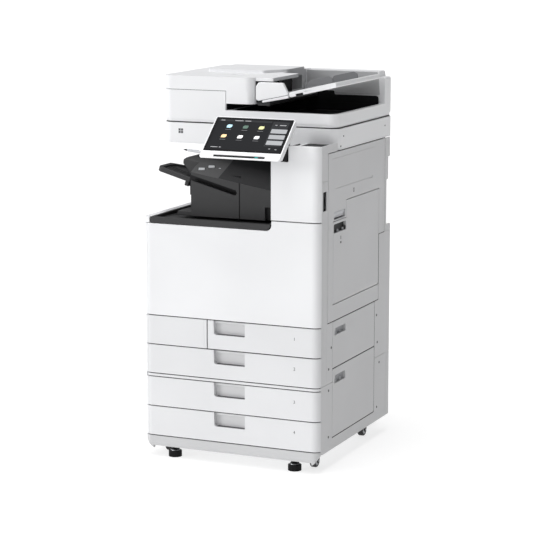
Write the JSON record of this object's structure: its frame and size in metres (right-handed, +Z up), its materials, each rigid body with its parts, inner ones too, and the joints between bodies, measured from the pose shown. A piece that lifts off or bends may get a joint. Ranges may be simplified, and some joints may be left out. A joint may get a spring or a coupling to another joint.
{
  "type": "photocopier",
  "caption": "Floor-standing colour photocopier with paper drawers, front door, inner finisher, tilting touch panel, reader glass and document feeder, on casters.",
  "frame": {"origin": "middle of the footprint's bounding box, on the floor", "axes": "+Z up; -Y out of the front (operator side), +X to the operator's right, where the bypass tray is"},
  "size_m": [0.5726, 0.742, 1.144],
  "materials": {
    "cover_white": "fine moulded satin texture",
    "cover_grey": "fine moulded satin texture",
    "charcoal_plastic": "fine grained matt texture",
    "black_plastic": "smooth matt",
    "panel_white": "smooth satin",
    "screen": "polished touch screen",
    "platen_glass": "clear float glass",
    "chassis_steel": "zinc plated sheet",
    "caster_steel": "zinc plated",
    "caster_rubber": "matt",
    "key_grey": "matt",
    "pen_grey": "satin",
    "belt": "smooth satin",
    "toner_yellow": "satin",
    "toner_magenta": "satin",
    "toner_cyan": "satin",
    "toner_black": "satin"
  },
  "bodies": {
    "cabinet": {"main_frame": "chassis_steel", "inner_cover": "cover_grey", "column_cover": "cover_white", "left_side_cover": "cover_grey", "right_side_cover": "cover_grey", "rear_cover": "cover_grey", "base_cover": "cover_white", "delivery_tray": "charcoal_plastic", "reader_housing": "cover_white", "platen_glass": "platen_glass", "power_inlet": "black_plastic", "laser_scanner": "black_plastic", "transfer_belt": "belt", "process_unit": "black_plastic", "fixing_unit": "black_plastic", "waste_toner_box": "pen_grey", "panel_bracket": "black_plastic"},
    "feeder": {"feeder_housing": "cover_white"},
    "feeder_lid": {"feeder_top_cover": "cover_white"},
    "document_bed": {"document_tray": "cover_white"},
    "guide_front": {"paper_guide_front": "cover_grey"},
    "guide_rear": {"paper_guide_rear": "cover_grey"},
    "panel": {"control_panel": "panel_white", "touch_screen": "screen"},
    "pen": {"stylus": "pen_grey"},
    "door": {"front_door": "cover_white"},
    "waste_door": {"waste_cover": "cover_white"},
    "drawer_1": {"drawer_front_1": "cover_white", "drawer_box_1": "charcoal_plastic"},
    "drawer_2": {"drawer_front_2": "cover_white", "drawer_box_2": "charcoal_plastic"},
    "drawer_3": {"drawer_front_3": "cover_white", "drawer_box_3": "charcoal_plastic"},
    "drawer_4": {"drawer_front_4": "cover_white", "drawer_box_4": "charcoal_plastic"},
    "side_door": {"right_cover": "cover_grey"},
    "side_latch": {"right_cover_latch": "cover_grey"},
    "bypass": {"bypass_tray": "cover_grey"},
    "access_upper": {"upper_access_door": "cover_grey"},
    "access_lower": {"lower_access_door": "cover_grey"},
    "finisher": {"finisher_body": "charcoal_plastic"},
    "stack": {"stack_tray": "charcoal_plastic"},
    "staple_key_1": {"finisher_key_1": "key_grey"},
    "staple_key_2": {"finisher_key_2": "key_grey"},
    "carriage": {"scan_carriage": "black_plastic"},
    "switch": {"power_switch": "black_plastic"},
    "foot_1": {"levelling_foot_1": "black_plastic"},
    "foot_2": {"levelling_foot_2": "black_plastic"},
    "toner_1": {"toner_bottle_1": "toner_yellow"},
    "toner_2": {"toner_bottle_2": "toner_magenta"},
    "toner_3": {"toner_bottle_3": "toner_cyan"},
    "toner_4": {"toner_bottle_4": "toner_black"},
    "fork_1": {"caster_fork_1": "caster_steel"},
    "wheel_1": {"caster_wheel_1": "caster_rubber"},
    "fork_2": {"caster_fork_2": "caster_steel"},
    "wheel_2": {"caster_wheel_2": "caster_rubber"},
    "fork_3": {"caster_fork_3": "caster_steel"},
    "wheel_3": {"caster_wheel_3": "caster_rubber"},
    "fork_4": {"caster_fork_4": "caster_steel"},
    "wheel_4": {"caster_wheel_4": "caster_rubber"}
  },
  "joints": [
    {"name": "feeder_hinge", "type": "hinge", "parent": "cabinet", "child": "feeder", "pos_m": [0.00377, 0.292, 0.997], "axis": [-1, 0, 0], "range_deg": [0, 70]},
    {"name": "feeder_lid_hinge", "type": "hinge", "parent": "feeder", "child": "feeder_lid", "pos_m": [-0.27823, 0.083, 1.096], "axis": [0, -1, 0], "range_deg": [0, 60]},
    {"name": "document_tray_hinge", "type": "hinge", "parent": "feeder", "child": "document_bed", "pos_m": [0.07226, 0.047, 1.07638], "axis": [0, -1, 0], "range_deg": [0, 22]},
    {"name": "guide_front_slide", "type": "slide", "parent": "document_bed", "child": "guide_front", "axis": [0, 1, 0], "range_m": [-0.05, 0.05]},
    {"name": "guide_rear_slide", "type": "slide", "parent": "document_bed", "child": "guide_rear", "axis": [0, 1, 0], "range_m": [-0.05, 0.05]},
    {"name": "panel_tilt", "type": "hinge", "parent": "cabinet", "child": "panel", "pos_m": [0.07487, -0.271, 0.954], "axis": [1, 0, 0], "range_deg": [-28, 25]},
    {"name": "stylus_pull", "type": "slide", "parent": "panel", "child": "pen", "axis": [-0.9921, 0.0951, 0.0816], "range_m": [0, 0.06]},
    {"name": "front_door_hinge", "type": "hinge", "parent": "cabinet", "child": "door", "pos_m": [0.00377, -0.2765, 0.438], "axis": [1, 0, 0], "range_deg": [0, 85]},
    {"name": "waste_cover_hinge", "type": "hinge", "parent": "cabinet", "child": "waste_door", "pos_m": [-0.17573, -0.2765, 0.3495], "axis": [1, 0, 0], "range_deg": [0, 80]},
    {"name": "drawer_1_slide", "type": "slide", "parent": "cabinet", "child": "drawer_1", "axis": [0, -1, 0], "range_m": [0, 0.42]},
    {"name": "drawer_2_slide", "type": "slide", "parent": "cabinet", "child": "drawer_2", "axis": [0, -1, 0], "range_m": [0, 0.42]},
    {"name": "drawer_3_slide", "type": "slide", "parent": "cabinet", "child": "drawer_3", "axis": [0, -1, 0], "range_m": [0, 0.42]},
    {"name": "drawer_4_slide", "type": "slide", "parent": "cabinet", "child": "drawer_4", "axis": [0, -1, 0], "range_m": [0, 0.42]},
    {"name": "right_cover_hinge", "type": "hinge", "parent": "cabinet", "child": "side_door", "pos_m": [0.28327, 0.245, 0.685], "axis": [0, 0, 1], "range_deg": [0, 80]},
    {"name": "right_cover_latch_pull", "type": "hinge", "parent": "side_door", "child": "side_latch", "pos_m": [0.27977, -0.124, 0.7535], "axis": [0, -1, 0], "range_deg": [0, 12], "stiffness_Nm_per_rad": 0.3},
    {"name": "bypass_tray_hinge", "type": "hinge", "parent": "side_door", "child": "bypass", "pos_m": [0.28327, 0.012, 0.4895], "axis": [0, 1, 0], "range_deg": [0, 68]},
    {"name": "upper_access_hinge", "type": "hinge", "parent": "cabinet", "child": "access_upper", "pos_m": [0.28327, 0.166, 0.366], "axis": [0, 0, 1], "range_deg": [0, 90]},
    {"name": "lower_access_hinge", "type": "hinge", "parent": "cabinet", "child": "access_lower", "pos_m": [0.28327, 0.166, 0.193], "axis": [0, 0, 1], "range_deg": [0, 90]},
    {"name": "finisher_slide", "type": "slide", "parent": "cabinet", "child": "finisher", "axis": [-1, 0, 0], "range_m": [0, 0.1]},
    {"name": "stack_tray_lift", "type": "slide", "parent": "finisher", "child": "stack", "axis": [0, 0, -1], "range_m": [0, 0.045]},
    {"name": "finisher_key_1_press", "type": "slide", "parent": "finisher", "child": "staple_key_1", "axis": [-0.1504, 0.395, -0.9063], "range_m": [0, 0.0012], "stiffness_N_per_m": 400},
    {"name": "finisher_key_2_press", "type": "slide", "parent": "finisher", "child": "staple_key_2", "axis": [-0.1504, 0.395, -0.9063], "range_m": [0, 0.0012], "stiffness_N_per_m": 400},
    {"name": "scan_carriage_travel", "type": "slide", "parent": "cabinet", "child": "carriage", "axis": [1, 0, 0], "range_m": [0, 0.42]},
    {"name": "power_switch_rock", "type": "hinge", "parent": "cabinet", "child": "switch", "pos_m": [0.27527, -0.2315, 0.798], "axis": [0, 1, 0], "range_deg": [-5, 5]},
    {"name": "levelling_foot_1_screw", "type": "slide", "parent": "cabinet", "child": "foot_1", "axis": [0, 0, 1], "range_m": [0, 0.012]},
    {"name": "levelling_foot_2_screw", "type": "slide", "parent": "cabinet", "child": "foot_2", "axis": [0, 0, 1], "range_m": [0, 0.012]},
    {"name": "toner_bottle_1_spin", "type": "hinge", "parent": "cabinet", "child": "toner_1", "pos_m": [-0.20073, -0.039, 0.658], "axis": [0, 1, 0], "continuous": true},
    {"name": "toner_bottle_2_spin", "type": "hinge", "parent": "cabinet", "child": "toner_2", "pos_m": [-0.10673, -0.039, 0.658], "axis": [0, 1, 0], "continuous": true},
    {"name": "toner_bottle_3_spin", "type": "hinge", "parent": "cabinet", "child": "toner_3", "pos_m": [-0.01273, -0.039, 0.658], "axis": [0, 1, 0], "continuous": true},
    {"name": "toner_bottle_4_spin", "type": "hinge", "parent": "cabinet", "child": "toner_4", "pos_m": [0.08127, -0.039, 0.658], "axis": [0, 1, 0], "continuous": true},
    {"name": "caster_1_swivel", "type": "hinge", "parent": "cabinet", "child": "fork_1", "pos_m": [-0.23373, -0.213, 0.05], "axis": [0, 0, 1], "continuous": true},
    {"name": "caster_1_roll", "type": "hinge", "parent": "fork_1", "child": "wheel_1", "pos_m": [-0.23373, -0.199, 0.02], "axis": [1, 0, 0], "continuous": true},
    {"name": "caster_2_swivel", "type": "hinge", "parent": "cabinet", "child": "fork_2", "pos_m": [0.24127, -0.213, 0.05], "axis": [0, 0, 1], "continuous": true},
    {"name": "caster_2_roll", "type": "hinge", "parent": "fork_2", "child": "wheel_2", "pos_m": [0.24127, -0.199, 0.02], "axis": [1, 0, 0], "continuous": true},
    {"name": "caster_3_swivel", "type": "hinge", "parent": "cabinet", "child": "fork_3", "pos_m": [-0.22973, 0.183, 0.05], "axis": [0, 0, 1], "continuous": true},
    {"name": "caster_3_roll", "type": "hinge", "parent": "fork_3", "child": "wheel_3", "pos_m": [-0.22973, 0.197, 0.02], "axis": [1, 0, 0], "continuous": true},
    {"name": "caster_4_swivel", "type": "hinge", "parent": "cabinet", "child": "fork_4", "pos_m": [0.23727, 0.183, 0.05], "axis": [0, 0, 1], "continuous": true},
    {"name": "caster_4_roll", "type": "hinge", "parent": "fork_4", "child": "wheel_4", "pos_m": [0.23727, 0.197, 0.02], "axis": [1, 0, 0], "continuous": true}
  ],
  "couplings": [
    {"joint": "guide_rear_slide", "follows": "guide_front_slide", "ratio": -1}
  ]
}
